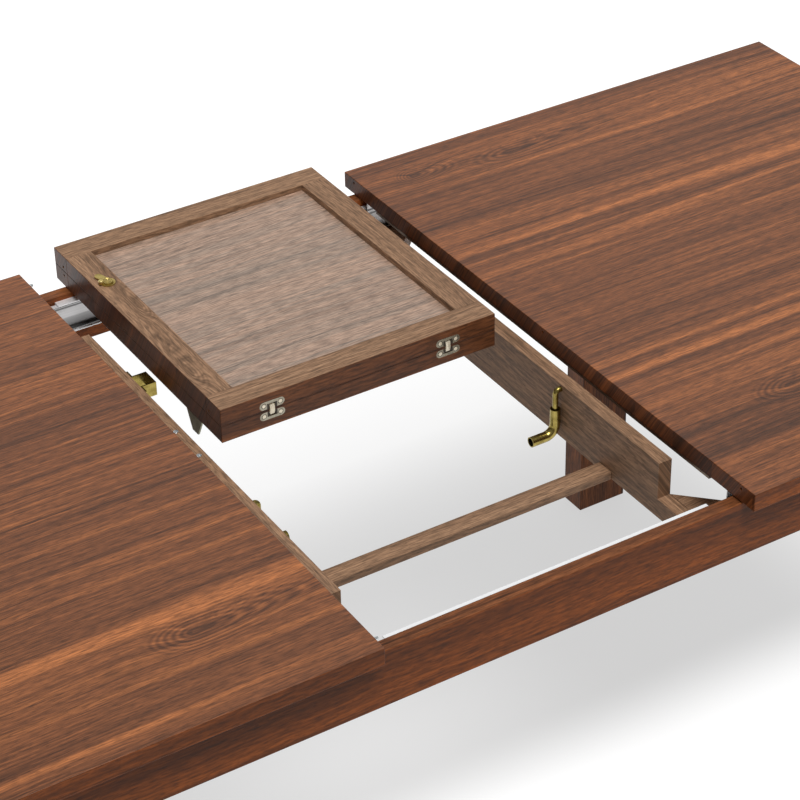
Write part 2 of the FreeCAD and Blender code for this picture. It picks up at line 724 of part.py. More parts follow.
def hinge_links():
    """Round-ended bars that join the two halves, each turning on a pin in the lower half."""
    links = []
    for x_sign in SIDES.values():
        spot = (signed(S.hinge_at, x_sign) - S.link_wide / 2, S.link_pivot, S.table_height)
        turn = Rotation(Vector(0, 1, 0), 90)
        bar = stadium("link_bar", (S.link_pivot + S.link_round) * 2, S.link_round * 2, S.link_wide, spot,
                      turn)
        links.append(fuse("hinge_link", [bar, link_pin(x_sign, S.link_pin, S.link_pin_long)]))
    group("hinge_links", links)


def tongues():
    """Tapered plates that hang from the near corners of the lower half's ends."""
    root = S.tongue_root / 2
    tip = S.tongue_tip / 2
    mid = S.tongue_at
    outline = [(mid - root, 0), (mid - tip, -S.tongue_tall), (mid + tip, -S.tongue_tall), (mid + root, 0)]
    plates = []
    for sign in SIDES.values():
        start = low_end(LEAF_END - S.tongue_thick, LEAF_END, sign)
        blade = prism("tongue_blade", outline, S.tongue_thick, "YZ_Plane", (start, 0, TOP_UNDER))
        low = low_end(LEAF_END - S.tongue_flange, LEAF_END, sign)
        flange = box("tongue_flange", (low, mid - S.tongue_tip, TOP_UNDER - S.tongue_gauge),
                     (S.tongue_flange, S.tongue_tip * 2, S.tongue_gauge))
        plates.append(fuse("tongue", [blade, flange]))
    group("leaf_tongues", plates)


def catch():
    """The turning catch on the left stile: a fixed round plate and a lever with a knob."""
    x = -S.catch_x
    y = S.catch_y
    base = S.table_height + S.leaf_thick
    keep(cylinder("round_plate", S.catch_radius, S.catch_thick, (x, y, base)), "catch_plate")
    level = base + S.catch_thick
    reach = (S.lever_long - S.lever_wide) / 2
    lean = Rotation(Vector(0, 0, 1), S.lever_lean.number)
    wing = stadium("catch_wing", S.lever_long, S.lever_wide, S.lever_thick,
                   (x - reach * math.sin(math.radians(S.lever_lean.number - 90)),
                    y + reach * math.cos(math.radians(S.lever_lean.number - 90)), level), lean)
    hub = cylinder("catch_hub", S.lever_hub, S.lever_thick, (x, y, level))
    arm = box("catch_arm", (x - S.knob_at, y - S.knob_radius, level),
              (S.knob_at, S.knob_radius * 2, S.lever_thick))
    knob = cylinder("catch_knob", S.knob_radius, S.lever_thick + S.knob_tall, (x - S.knob_at, y, level))
    keep(fuse("catch_arms", [wing, hub, arm, knob]), "catch_lever")


# ---------------------------------------------------------------- build and write


def check_document():
    """Every object recomputed without fault and every sub-part is one or more valid solids."""
    DOC.recompute()
    for thing in DOC.Objects:
        if "Invalid" in thing.State or "Error" in thing.State:
            raise RuntimeError("%s did not recompute: %s" % (thing.Label, thing.State))
    labels = [node.Label for node in NODES]
    if len(set(labels)) != len(labels):
        raise RuntimeError("two sub-parts share a label")
    for node in NODES:
        if node.Shape.isNull() or not node.Shape.isValid() or not node.Shape.Solids:
            raise RuntimeError("%s has no valid solid" % node.Label)


def write_parts():
    os.makedirs("parts", exist_ok=True)
    for node in NODES:
        node.Shape.exportStep("parts/%s.step" % node.Label)
        box_m = node.Shape.BoundBox
        print("%-24s %2d  x %7.1f %7.1f  y %7.1f %7.1f  z %6.1f %6.1f" % (
            node.Label, len(node.Shape.Solids), box_m.XMin, box_m.XMax, box_m.YMin, box_m.YMax,
            box_m.ZMin, box_m.ZMax))
    print("sub-parts written:", len(NODES))


for build in (aprons, legs, floor_glides, leg_corner_blocks, beams, stretcher, beam_corner_blocks,
              slide_rails, slide_middles, slide_inners, tops, top_bars, top_screws, all_dowels,
              keepers, frame_screws, hooks, leaf_frames, hinge_plates, hinge_links, tongues, catch):
    build()
check_document()
write_parts()
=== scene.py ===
"""Looks of the extendable dining table: woods, metals, screw heads, light, floor and camera."""
import math

import bmesh
import bpy
from mathutils import Matrix, Vector


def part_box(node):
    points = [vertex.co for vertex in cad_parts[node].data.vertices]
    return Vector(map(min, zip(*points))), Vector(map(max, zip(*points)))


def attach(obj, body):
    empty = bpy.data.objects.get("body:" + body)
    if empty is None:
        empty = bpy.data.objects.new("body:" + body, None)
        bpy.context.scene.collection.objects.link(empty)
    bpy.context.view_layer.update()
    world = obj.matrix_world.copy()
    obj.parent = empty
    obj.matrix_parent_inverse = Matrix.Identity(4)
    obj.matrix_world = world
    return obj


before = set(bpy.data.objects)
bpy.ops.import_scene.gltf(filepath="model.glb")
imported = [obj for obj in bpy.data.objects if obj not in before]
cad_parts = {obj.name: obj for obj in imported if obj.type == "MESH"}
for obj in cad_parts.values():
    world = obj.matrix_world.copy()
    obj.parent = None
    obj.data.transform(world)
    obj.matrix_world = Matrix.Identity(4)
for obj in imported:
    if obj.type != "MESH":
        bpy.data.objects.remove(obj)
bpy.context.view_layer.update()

MM = 0.001
SIDES = ("left", "right")
ENDS = ("near", "far")
LAYERS = ("lower", "upper")
UP, TO_NEAR = (0, 0, 1), (0, -1, 0)
LEAF_BOX = (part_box("lower_near_rail")[0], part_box("upper_far_rail")[1])
LEAF_SEAM = (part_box("lower_near_rail")[1].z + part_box("upper_near_rail")[0].z) / 2


# ---------------------------------------------------------------- node graph helper


class Graph:
    """One material's node tree, with short calls for the nodes that the materials share."""

    def __init__(self, name):
        self.material = bpy.data.materials.new(name)
        self.material.use_nodes = True
        self.tree = self.material.node_tree
        self.tree.nodes.clear()
        self.shader = self.tree.nodes.new("ShaderNodeBsdfPrincipled")
        output = self.tree.nodes.new("ShaderNodeOutputMaterial")
        self.tree.links.new(self.shader.outputs["BSDF"], output.inputs["Surface"])

    def put(self, socket, value):
        """Set a socket to a number or a colour, or link an output to it."""
        if isinstance(value, bpy.types.NodeSocket):
            self.tree.links.new(value, socket)
        elif hasattr(value, "__len__") and len(value) == 3 and socket.type == "RGBA":
            socket.default_value = (*value, 1.0)
        else:
            socket.default_value = value

    def shade(self, **sockets):
        """Set or link the shader's sockets, with underscores for the spaces in their names."""
        for name, value in sockets.items():
            self.put(self.shader.inputs[name.replace("_", " ")], value)

    def gloss(self, level):
        self.shader.inputs["Specular IOR Level"].default_value = level

    def math(self, operation, *values):
        node = self.tree.nodes.new("ShaderNodeMath")
        node.operation = operation
        for socket, value in zip(node.inputs, values):
            self.put(socket, value)
        return node.outputs[0]

    def scaled(self, value, factor):
        return self.math("MULTIPLY", value, factor)

    def size_of(self, value):
        return self.math("ABSOLUTE", value)

    def total(self, *weighted):
        """The weighted sum of (output, weight) pairs."""
        result = self.math("MULTIPLY", *weighted[0])
        for output, weight in weighted[1:]:
            result = self.math("MULTIPLY_ADD", output, weight, result)
        return result

    def vector(self, x, y, z):
        node = self.tree.nodes.new("ShaderNodeCombineXYZ")
        for socket, value in zip(node.inputs, (x, y, z)):
            self.put(socket, value)
        return node.outputs[0]

    def stretched(self, rates):
        """The object's coordinates, each multiplied by its own rate."""
        place = self.parts(self.coordinates())
        return self.vector(*[self.scaled(part, rate) for part, rate in zip(place, rates)])

    def parts(self, output):
        node = self.tree.nodes.new("ShaderNodeSeparateXYZ")
        self.put(node.inputs[0], output)
        return list(node.outputs)

    def coordinates(self, which="Object"):
        return self.tree.nodes.new("ShaderNodeTexCoord").outputs[which]

    def facing(self, axis_index, low=0.6, high=0.8):
        """1 where the surface faces along the axis, either way, and 0 where it lies along it."""
        normal = self.parts(self.coordinates("Normal"))[axis_index]
        return self.smooth(self.size_of(normal), low, high)

    def noise(self, vector, detail, roughness=0.55, scale=1.0):
        node = self.tree.nodes.new("ShaderNodeTexNoise")
        self.put(node.inputs["Vector"], vector)
        node.inputs["Scale"].default_value = scale
        node.inputs["Detail"].default_value = detail
        node.inputs["Roughness"].default_value = roughness
        return node.outputs["Fac"]

    def hashed(self, number):
        """A number between 0 and 1 that is the same wherever the input is the same."""
        node = self.tree.nodes.new("ShaderNodeTexWhiteNoise")
        node.noise_dimensions = "1D"
        self.put(node.inputs["W"], number)
        return node.outputs["Value"]

    def ramp(self, factor, stops):
        """A colour that runs through the (position, colour) stops."""
        node = self.tree.nodes.new("ShaderNodeValToRGB")
        elements = node.color_ramp.elements
        while len(elements) < len(stops):
            elements.new(1.0)
        for element, (position, colour) in zip(elements, stops):
            element.position = position
            element.color = (*colour, 1.0)
        self.put(node.inputs["Fac"], factor)
        return node.outputs["Color"]

    def smooth(self, value, low, high, start=0.0, end=1.0):
        """A smooth step from start at low to end at high."""
        node = self.tree.nodes.new("ShaderNodeMapRange")
        node.interpolation_type = "SMOOTHSTEP"
        for socket, number in zip(node.inputs[:5], (value, low, high, start, end)):
            self.put(socket, number)
        return node.outputs[0]

    def mix(self, factor, first, second, blend="MIX"):
        node = self.tree.nodes.new("ShaderNodeMix")
        node.data_type = "RGBA"
        node.blend_type = blend
        colours = [socket for socket in node.inputs if socket.type == "RGBA"]
        self.put(node.inputs["Factor"], factor)
        self.put(colours[0], first)
        self.put(colours[1], second)
        return next(socket for socket in node.outputs if socket.type == "RGBA")

    def tint(self, colour, filter_colour, mask):
        """Multiply a colour by another where the mask is 1."""
        return self.mix(mask, colour, self.mix(1.0, colour, filter_colour, "MULTIPLY"))

    def dim(self, colour, amount):
        """Multiply a colour by a grey amount."""
        return self.mix(1.0, colour, self.vector(amount, amount, amount), "MULTIPLY")

    def bump(self, height, distance):
        node = self.tree.nodes.new("ShaderNodeBump")
        node.inputs["Distance"].default_value = distance
        self.put(node.inputs["Height"], height)
        self.put(self.shader.inputs["Normal"], node.outputs["Normal"])


# ---------------------------------------------------------------- woods

# Colour ramps of the growth lines: (place on the ramp, colour) from early to late wood.
DARK_TONES = [(0.28, (0.085, 0.031, 0.013)), (0.41, (0.140, 0.048, 0.018)),
              (0.51, (0.192, 0.065, 0.023)), (0.61, (0.245, 0.083, 0.028)),
              (0.74, (0.335, 0.115, 0.036))]
PLAIN_TONES = [(0.28, (0.180, 0.100, 0.055)), (0.45, (0.245, 0.138, 0.078)),
               (0.58, (0.300, 0.172, 0.098)), (0.74, (0.360, 0.210, 0.122))]
PANEL_TONES = [(0.28, (0.255, 0.195, 0.155)), (0.42, (0.310, 0.225, 0.172)),
               (0.55, (0.385, 0.255, 0.185)), (0.72, (0.470, 0.300, 0.210))]
ORANGE = (0.50, 0.170, 0.052)
# Painted shade: a deeper, redder filter on the near and far faces of the tops and aprons.
PAINTED_SIDE_SHADE = (0.95, 0.76, 0.50)
SEAM_SHADOW = (0.012, 0.006, 0.004)
DARK_STREAK, DARK_ORANGE = 0.30, 0.75
TOP_PLANK, LEAF_PLANK = 0.0825, 0.125
TOP_GLOSS, EDGE_GLOSS = 0.4, 0.15

# Growth lines: cycles per metre along and across the grain, seed offset and weight.
GROWTH = [(0.5, 14.0, 0.0, 0.26), (1.0, 62.0, 3.1, 0.36), (3.0, 250.0, 5.7, 0.38)]
MIDDLE_TONE = 0.51
PLANK_TONE_SPREAD, PLANK_SHIFT = 0.10, 0.7
RING_STRENGTH = 0.080
KNOT_TAIL = 0.36


class Grain:
    """The wood figure of a board whose grain runs along one axis."""

    def __init__(self, graph, axis, seed, plank=0.0, knots=(), wander=0.005):
        self.graph = graph
        place = graph.parts(graph.coordinates())
        order = {"X": (0, 1, 2), "Y": (1, 0, 2), "Z": (2, 0, 1)}[axis]
        self.along, self.across, deep = [place[index] for index in order]
        self.axis_index = order[0]
        self.seed = seed
        self.rings = None
        self.plank_number = None
        self.height = graph.math("MULTIPLY_ADD", deep, 0.6, self.across)
        drift = graph.math("SUBTRACT", graph.noise(self.stretched(1.6, 4.0, seed), 2.0), 0.5)
        self.height = graph.math("MULTIPLY_ADD", drift, wander * 4, self.height)
        for knot in knots:
            self.add_knot(*knot)
        if plank:
            number = graph.math("FLOOR", graph.math("DIVIDE", self.across, plank))
            self.plank_number = graph.hashed(graph.math("ADD", number, seed))
            self.height = graph.math("MULTIPLY_ADD", self.plank_number, PLANK_SHIFT, self.height)

    def stretched(self, along_rate, across_rate, layer):
        graph = self.graph
        return graph.vector(graph.scaled(self.along, along_rate), graph.scaled(self.across, across_rate),
                            layer)

    def add_knot(self, along, across, long, wide, rise, count):
        """A knot under the surface: it lifts the grain lines around it and closes some into rings.

        It is long by wide, and its tail points to the high end of the board.
        """
        graph = self.graph
        u = graph.math("DIVIDE", graph.math("SUBTRACT", self.along, along), long)
        u = graph.math("MINIMUM", u, graph.scaled(u, KNOT_TAIL))
        v = graph.math("DIVIDE", graph.math("SUBTRACT", self.across, across), wide)
        ripple = graph.noise(self.stretched(16.0, 40.0, along), 2.0)
        square = graph.math("MULTIPLY_ADD", u, u, graph.math("MULTIPLY", v, v))
        uneven = graph.math("MULTIPLY_ADD", graph.math("MULTIPLY", ripple, square), 0.5, square)
        swell = graph.scaled(graph.math("EXPONENT", graph.scaled(uneven, -1.0)), rise)
        self.height = graph.math("ADD", self.height, swell)
        radius = graph.math("SQRT", uneven)
        wave = graph.math("SINE", graph.scaled(radius, 2 * math.pi * count))
        inside = graph.smooth(radius, 0.9, 1.7, 1.0, 0.0)
        heart = graph.smooth(radius, 0.1, 0.5, -2.0, 0.0)
        rings = graph.math("MULTIPLY", graph.math("ADD", wave, heart), inside)
        rings = graph.math("MULTIPLY_ADD", inside, -0.6, rings)
        self.rings = rings if self.rings is None else graph.math("ADD", self.rings, rings)

    def lines(self, along_rate, across_rate, detail=2.0, offset=0.0):
        """Noise drawn out along the grain lines: cycles per metre along and across them."""
        graph = self.graph
        place = graph.vector(graph.scaled(self.along, along_rate), graph.scaled(self.height, across_rate),
                             self.seed + offset)
        return graph.noise(place, detail)

    def colour(self, tones, streak, orange=0.0, contrast=1.5):
        """Growth lines and rings, then dark streaks, orange flames, fibres and pores."""
        graph = self.graph
        growth = graph.total(*[(self.lines(along, across, offset=offset), weight)
                               for along, across, offset, weight in GROWTH])
        if self.rings is not None:
            growth = graph.math("MULTIPLY_ADD", self.rings, RING_STRENGTH, growth)
        if self.plank_number is not None:
            tone = graph.math("MULTIPLY_ADD", self.plank_number, PLANK_TONE_SPREAD, -PLANK_TONE_SPREAD / 2)
            growth = graph.math("ADD", growth, tone)
        spread = graph.math("SUBTRACT", growth, 0.5)
        colour = graph.ramp(graph.math("MULTIPLY_ADD", spread, contrast, MIDDLE_TONE), tones)
        vein = graph.size_of(graph.math("SUBTRACT", self.lines(0.8, 40.0, 3.0, 9.4), 0.5))
        colour = graph.dim(colour, graph.smooth(vein, 0.0, 0.022, 1.0 - streak, 1.0))
        if orange:
            flame = graph.smooth(self.lines(0.5, 28.0, 4.0, 13.0), 0.56, 0.70, 0.0, orange)
            colour = graph.mix(flame, colour, ORANGE)
        self.fibre = self.lines(42.0, 460.0, 3.0, 17.0)
        colour = graph.dim(colour, graph.smooth(self.fibre, 0.28, 0.72, 0.60, 1.40))
        self.pores = graph.smooth(self.lines(75.0, 620.0, 1.0, 21.0), 0.58, 0.68, 1.0, 0.0)
        return graph.dim(colour, graph.math("MULTIPLY_ADD", self.pores, 0.32, 0.68))

    def ends(self, colour, filter_colour):
        """Darken the end grain, where the surface faces along the board."""
        return self.graph.tint(colour, filter_colour, self.graph.facing(self.axis_index))

    def rough(self, spread, least):
        """Roughness that follows the fibres."""
        return self.graph.math("MULTIPLY_ADD", self.fibre, spread, least)

    def relief(self, distance):
        self.graph.bump(self.graph.total((self.fibre, 0.35), (self.pores, 0.65)), distance)


def dark_walnut(name, axis, seed, plank=0.0, knots=(), gloss=EDGE_GLOSS, painted_side_shade=False):
    """Lacquered walnut, red brown with orange and dark streaks; with the last flag set, its near and far
    faces get painted shade, a deeper and redder filter.
    """
    graph = Graph(name)
    grain = Grain(graph, axis, seed, plank, knots)
    colour = grain.ends(grain.colour(DARK_TONES, DARK_STREAK, DARK_ORANGE), (0.62, 0.55, 0.52))
    # Painted shade on the faces that look along Y.
    if painted_side_shade:
        colour = graph.tint(colour, PAINTED_SIDE_SHADE, graph.facing(1))
    graph.shade(Base_Color=colour, Roughness=grain.rough(0.16, 0.32))
    graph.gloss(gloss)
    grain.relief(0.05 * MM)
    return graph.material


def plain_walnut(name, axis, seed):
    """Unfinished walnut of the hidden frame: dull, paler and greyer."""
    graph = Graph(name)
    grain = Grain(graph, axis, seed, wander=0.008)
    colour = grain.ends(grain.colour(PLAIN_TONES, 0.25), (0.80, 0.76, 0.72))
    graph.shade(Base_Color=colour, Roughness=grain.rough(0.12, 0.52))
    graph.gloss(0.30)
    grain.relief(0.07 * MM)
    return graph.material


def leaf_outside(graph):
    """1 on the leaf's outer edges and on the show faces, which meet at the seam when it is folded."""
    x, y, z = graph.parts(graph.coordinates())
    low, high = LEAF_BOX
    edge = 0.5 * MM
    mask = graph.math("GREATER_THAN", graph.size_of(x), high.x - edge)
    for other in (graph.math("LESS_THAN", y, low.y + edge),
                  graph.math("GREATER_THAN", y, high.y - edge),
                  graph.math("LESS_THAN", graph.size_of(graph.math("SUBTRACT", z, LEAF_SEAM)), edge)):
        mask = graph.math("MAXIMUM", mask, other)
    return mask


def seam_shadow(graph, colour):
    """Darken the outer edges along the line where the two halves meet."""
    height = graph.parts(graph.coordinates())[2]
    off_seam = graph.size_of(graph.math("SUBTRACT", height, LEAF_SEAM))
    joint = graph.smooth(off_seam, 0.6 * MM, 1.6 * MM, 1.0, 0.0)
    upright = graph.math("SUBTRACT", 1.0, graph.facing(2, 0.3, 0.6))
    return graph.mix(graph.math("MULTIPLY", upright, joint), colour, SEAM_SHADOW)


def leaf_wood(name, axis, seed, tones, knots=(), veneer=False):
    """A leaf board: plain inside the frame, finished like the tops on its edges and its show face."""
    graph = Graph(name)
    plain = Grain(graph, axis, seed, knots=knots, wander=0.010)
    shown = Grain(graph, "X", 4.2, LEAF_PLANK)
    if veneer:
        inside = plain.colour(tones, 0.30, contrast=1.25)
        rough, gloss = 0.40, 0.60
    else:
        inside = plain.colour(tones, 0.22)
        rough, gloss = 0.54, 0.25
    outside = shown.ends(shown.colour(DARK_TONES, DARK_STREAK, DARK_ORANGE), (0.75, 0.66, 0.62))
    outside = seam_shadow(graph, graph.dim(outside, 0.70))
    mask = leaf_outside(graph)
    graph.shade(Base_Color=graph.mix(mask, inside, outside),
                Roughness=plain.rough(0.10, graph.math("MULTIPLY_ADD", mask, -0.20, rough)))
    graph.gloss(gloss)
    plain.relief(0.05 * MM)
    return graph.material


# ---------------------------------------------------------------- metals and plastic

# Painted light and shade of a slide, from its lower lip to its upper lip: bright lit edges and dark shadowed
# gaps, as (part of its height, tone).
SLIDE_SHADE_BANDS = [(0.00, 0.95), (0.06, 0.95), (0.08, 0.10), (0.14, 0.10), (0.17, 0.30), (0.30, 0.36),
               (0.42, 0.50), (0.45, 0.80), (0.73, 0.86), (0.75, 0.30), (0.79, 0.26), (0.81, 0.90),
               (0.86, 0.92), (0.88, 0.22), (0.92, 0.20), (0.94, 0.96), (1.00, 0.96)]


def metal(name, colour, worn, roughness, brushed="X", scratch=0.10, shine=1.0):
    """Sheet or wire metal: tone patches, drawn scratches and roughness that follows both."""
    graph = Graph(name)
    drawn = graph.noise(graph.stretched([40.0 if axis == brushed else 2600.0 for axis in "XYZ"]), 2.0)
    patch = graph.noise(graph.coordinates(), 4.0, 0.6, 90.0)
    rough = graph.math("ADD", graph.total((drawn, scratch), (patch, 0.12)), roughness - 0.1)
    graph.shade(Base_Color=graph.mix(graph.smooth(patch, 0.38, 0.66), colour, worn), Roughness=rough,
                Metallic=shine)
    graph.bump(drawn, 0.01 * MM)
    return graph.material


def slide_steel(name, low, high):
    """Bright, zinc plated slides with painted light and shade: tone bands along the length stand for their
    lit edges and shadowed gaps.
    """
    graph = Graph(name)
    height = graph.parts(graph.coordinates())[2]
    rise = graph.math("DIVIDE", graph.math("SUBTRACT", height, low), high - low)
    # Painted light and shade: tone bands by height.
    painted_bands = graph.ramp(rise, [(part, (tone, tone, tone * 1.01)) for part, tone in SLIDE_SHADE_BANDS])
    drawn = graph.noise(graph.stretched((12.0, 1500.0, 1500.0)), 2.0)
    graph.shade(Base_Color=graph.dim(painted_bands, graph.smooth(drawn, 0.2, 0.8, 0.86, 1.08)), Metallic=0.45,
                Roughness=graph.math("MULTIPLY_ADD", drawn, 0.12, 0.38))
    graph.bump(drawn, 0.01 * MM)
    return graph.material


def plastic(name, colour):
    """Moulded plastic with a fine grit."""
    graph = Graph(name)
    grit = graph.noise(graph.coordinates(), 3.0, 0.6, 900.0)
    graph.shade(Base_Color=graph.dim(graph.ramp(grit, [(0.0, colour), (1.0, colour)]),
                                     graph.smooth(grit, 0.2, 0.8, 0.85, 1.1)),
                Roughness=graph.math("MULTIPLY_ADD", grit, 0.2, 0.45))
    graph.bump(grit, 0.03 * MM)
    return graph.material


def make_metals():
    """Every metal of the table, by a short name."""
    return {
        "zinc": metal("zinc plated steel", (0.66, 0.69, 0.70), (0.50, 0.53, 0.55), 0.24),
        # A near-white, hardly metallic zinc: a painted highlight for the upper lips of the near slides.
        "painted_highlight_zinc": metal("zinc with painted highlight", (0.93, 0.94, 0.95), (0.90, 0.91, 0.92), 0.45, shine=0.15),
        "brass": metal("worn brass", (0.37, 0.29, 0.085), (0.25, 0.19, 0.05), 0.24, "Z"),
        "hinge": metal("pale hinge brass", (0.36, 0.33, 0.26), (0.25, 0.225, 0.17), 0.27, shine=0.9),
        # A pale, hardly metallic copy of the hinge brass: a painted highlight on the links, straps and hinge
        # screw heads.
        "link": metal("hinge brass with painted highlight", (0.95, 0.86, 0.68), (0.86, 0.76, 0.58), 0.30, shine=0.35),
        # Near-black hinge brass: painted shade for thin sheets in the countersinks and at the slot ends.
        "gap": metal("shadowed hinge brass", (0.045, 0.032, 0.02), (0.03, 0.022, 0.015), 0.5, shine=0.3),
        "catch": metal("catch brass", (0.56, 0.43, 0.14), (0.38, 0.28, 0.08), 0.24, "Y", 0.2, 0.9),
        # A lighter copy of the catch brass: a painted highlight on the knob cap.
        "knob": metal("catch brass with painted highlight", (0.90, 0.76, 0.36), (0.70, 0.56, 0.22), 0.25, "Y", 0.2, 0.8),
        "olive": metal("olive chromate steel", (0.30, 0.29, 0.20), (0.22, 0.21, 0.14), 0.42, "Z"),
        "bar": metal("brown lacquered steel", (0.22, 0.17, 0.13), (0.15, 0.11, 0.085), 0.34, "Y"),
        "bolt": metal("bolt steel", (0.58, 0.58, 0.55), (0.42, 0.42, 0.40), 0.32),
    }


# ---------------------------------------------------------------- dressing the CAD nodes

FACES_UP = 0.7


def dress(material, *nodes):
    for node in nodes:
        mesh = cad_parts[node].data
        mesh.materials.clear()
        mesh.materials.append(material)


def dress_upward(material, node):
    """Give the faces of a node that look up a second material."""
    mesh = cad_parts[node].data
    mesh.materials.append(material)
    for polygon in mesh.polygons:
        polygon.material_index = int(polygon.normal.z > FACES_UP)


def soften(nodes, width, segments=2):
    """Round the sharp edges of a node a little, as folded and stamped metal has them."""
    for node in nodes:
        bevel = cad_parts[node].modifiers.new("edge", "BEVEL")
        bevel.width = width
        bevel.segments = segments
        bevel.limit_method = "ANGLE"
        bevel.angle_limit = math.radians(40)
        bevel.harden_normals = False


def shade_round(mesh):
    """Shade round surfaces smoothly and keep the creases."""
    mesh.shade_smooth()
    mesh.set_sharp_from_angle(angle=math.radians(35))


def dress_tops():
    """Glossier show faces than edges; a knot is (along, across, long, wide, rise, rings)."""
    knots = {"left_top": [(-0.442, -0.352, 0.050, 0.027, 0.020, 4.5)],
             "right_top": [(0.352, 0.430, 0.024, 0.022, 0.015, 4.0),
                           (0.520, 0.413, 0.060, 0.022, 0.020, 3.0),
                           (0.470, -0.330, 0.050, 0.026, 0.020, 4.0)]}
    for node, seed in (("left_top", 11.0), ("right_top", 23.0)):
        dress(dark_walnut("walnut edge " + node, "X", seed, TOP_PLANK, knots[node], painted_side_shade=True), node)
        dress_upward(dark_walnut("walnut face " + node, "X", seed, TOP_PLANK, knots[node], TOP_GLOSS), node)


def dress_frame_woods():
    """Every board of the frame has a seed of its own, so no two look alike."""
    for seed, name in enumerate(("near_apron", "far_apron")):
        dress(dark_walnut("walnut " + name, "X", 31.0 + seed * 3, painted_side_shade=True), name)
    for seed, name in enumerate(("left_end_apron", "right_end_apron")):
        dress(dark_walnut("walnut " + name, "Y", 37.0 + seed * 3), name)
    for row, end in enumerate(ENDS):
        for column, side in enumerate(SIDES):
            leg = "%s_%s_leg" % (end, side)
            dress(dark_walnut("walnut " + leg, "Z", 43.0 + row * 5 + column * 2), leg)
    dress(plain_walnut("plain walnut left beam", "Y", 51.0), "left_beam")
    dress(plain_walnut("plain walnut right beam", "Y", 53.5), "right_beam")
    dress(plain_walnut("plain walnut stretcher", "X", 57.0), "near_stretcher")
    dress(plain_walnut("plain walnut blocks", "X", 59.0), "leg_corner_blocks", "beam_corner_blocks")


def dress_leaf_woods():
    stile_knots = [(0.105, -0.205, 0.045, 0.014, 0.020, 3.0), (0.290, -0.185, 0.036, 0.011, 0.015, 3.0)]
    for index, layer in enumerate(LAYERS):
        seed = 61.0 + index * 7
        rails = leaf_wood(layer + " leaf rail walnut", "X", seed, PLAIN_TONES)
        stiles = leaf_wood(layer + " leaf stile walnut", "Y", seed + 2, PLAIN_TONES, stile_knots)
        panel = leaf_wood(layer + " leaf panel veneer", "X", seed + 4, PANEL_TONES, veneer=True)
        dress(rails, layer + "_near_rail", layer + "_far_rail")
        dress(stiles, layer + "_left_stile", layer + "_right_stile")
        dress(panel, layer + "_panel")


def dress_slides(metals):
    """Steel with painted bands of light and shade; the folded upper lips of the near slides get a painted
    highlight, a near-white second material.
    """
    slides = ["%s_slide_rail" % end for end in ENDS]
    slides += ["%s_%s_slide_%s" % (end, side, part) for end in ENDS for side in SIDES
               for part in ("middle", "inner")]
    low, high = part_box("far_slide_rail")
    dress(slide_steel("slide steel", low.z, high.z), *slides)
    # Painted highlight: near-white zinc on the up-facing faces of the near slides.
    for slide in slides:
        if slide.startswith("near"):
            dress_upward(metals["painted_highlight_zinc"], slide)
    soften(slides, 0.25 * MM)


def dress_fittings(metals):
    """Metal and plastic on everything that isn't wood or slide, with eased and rounded edges."""
    screws = ["left_top_screws", "right_top_screws", "frame_screws"]
    dowels = ["left_top_dowels", "lower_leaf_dowels", "upper_leaf_dowels"]
    brass = ["%s_%s" % (side, part) for side in SIDES for part in ("keeper", "leaf_hook", "hook_pin")]
    plates = ["%s_hinge_plates" % layer for layer in LAYERS]
    hinge_screws = ["%s_hinge_screws" % layer for layer in LAYERS]
    catch = ["catch_plate", "catch_lever"]
    bars = ["%s_top_bar" % side for side in SIDES]
    dress(metals["zinc"], *screws, *dowels)
    dress(metals["brass"], *brass)
    dress(metals["hinge"], *plates, *hinge_screws)
    dress(metals["link"], "hinge_links")
    dress(metals["catch"], *catch)
    dress(metals["olive"], "leaf_tongues")
    dress(metals["bar"], *bars)
    dress(metals["bolt"], "leg_bolts")
    dress(plastic("black plastic", (0.03, 0.03, 0.032)), "floor_glides")
    soften(bars, 0.25 * MM)
    soften(["left_keeper", "right_keeper", "leaf_tongues", "hinge_links"], 0.35 * MM, 3)
    soften(plates + catch, 0.3 * MM, 3)
    rounded = brass + plates + hinge_screws + catch + dowels
    rounded += ["hinge_links", "leaf_tongues", "leg_bolts", "floor_glides", "frame_screws"]
    for node in rounded:
        shade_round(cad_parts[node].data)


# ---------------------------------------------------------------- meshes for small pieces


def closed(mesh):
    """Turn the faces of a finished mesh outwards."""
    bmesh.ops.recalc_face_normals(mesh, faces=mesh.faces)
    return mesh


def join_rings(mesh, upper, lower):
    """Walls between two outlines with the same number of points."""
    for step in range(len(upper)):
        after = (step + 1) % len(upper)
        mesh.faces.new((upper[step], lower[step], lower[after], upper[after]))


def prism(outline, top, depth, taper=1.0):
    """A plate with the outline at the top height, narrowed by the taper at its foot."""
    mesh = bmesh.new()
    upper = [mesh.verts.new((x, y, top)) for x, y in outline]
    lower = [mesh.verts.new((x * taper, y * taper, top - depth)) for x, y in outline]
    mesh.faces.new(upper)
    mesh.faces.new(lower[::-1])
    join_rings(mesh, upper, lower)
    return closed(mesh)


def lathe(profile, steps=40):
    """A mesh turned about Z from (radius, height) points; it starts and ends on the axis."""
    mesh = bmesh.new()
    angles = [2 * math.pi * step / steps for step in range(steps)]
    rings = []
    for radius, height in profile:
        around = angles if radius else [0]
        rings.append([mesh.verts.new((radius * math.cos(angle), radius * math.sin(angle), height))
                      for angle in around])
    for lower, upper in zip(rings, rings[1:]):
        for step in range(steps):
            after = (step + 1) % steps
            corners = [lower[step % len(lower)], lower[after % len(lower)],
                       upper[after % len(upper)], upper[step % len(upper)]]
            mesh.faces.new(list(dict.fromkeys(corners)))
    return closed(mesh)


def turned(profile, steps=40):
    """A lathe mesh from a profile in millimetres."""
    return lathe([(radius * MM, height * MM) for radius, height in profile], steps)


